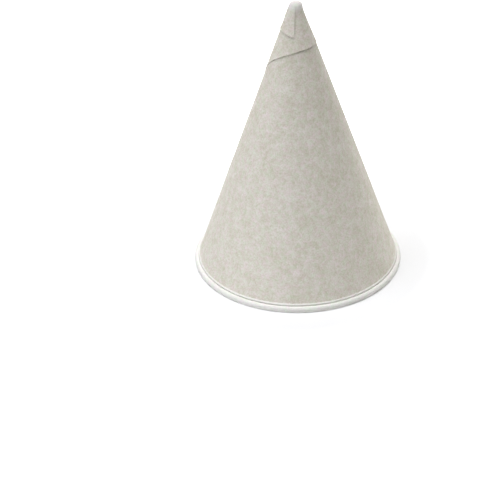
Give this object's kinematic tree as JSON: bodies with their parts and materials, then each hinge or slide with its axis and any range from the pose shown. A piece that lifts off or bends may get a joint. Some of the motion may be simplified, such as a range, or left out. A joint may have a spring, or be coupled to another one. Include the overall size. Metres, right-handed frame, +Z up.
{
  "type": "cone paper cup",
  "caption": "Cone-shaped paper drinking cup with a rolled rim and a folded point, wound from one sheet, standing mouth down.",
  "frame": {"origin": "centre of the rolled rim, on the plane that the cup stands on with its mouth down", "axes": "+Z up along the cup's axis, from the mouth to the closed point; -Y towards the front, where the tongue of the fold and the hem of the sheet show; +X to the right of the front"},
  "size_m": [0.073, 0.073, 0.0973],
  "materials": {
    "paper": "uncoated, matt"
  },
  "bodies": {
    "root": {"cone_cup": "paper"}
  },
  "joints": []
}
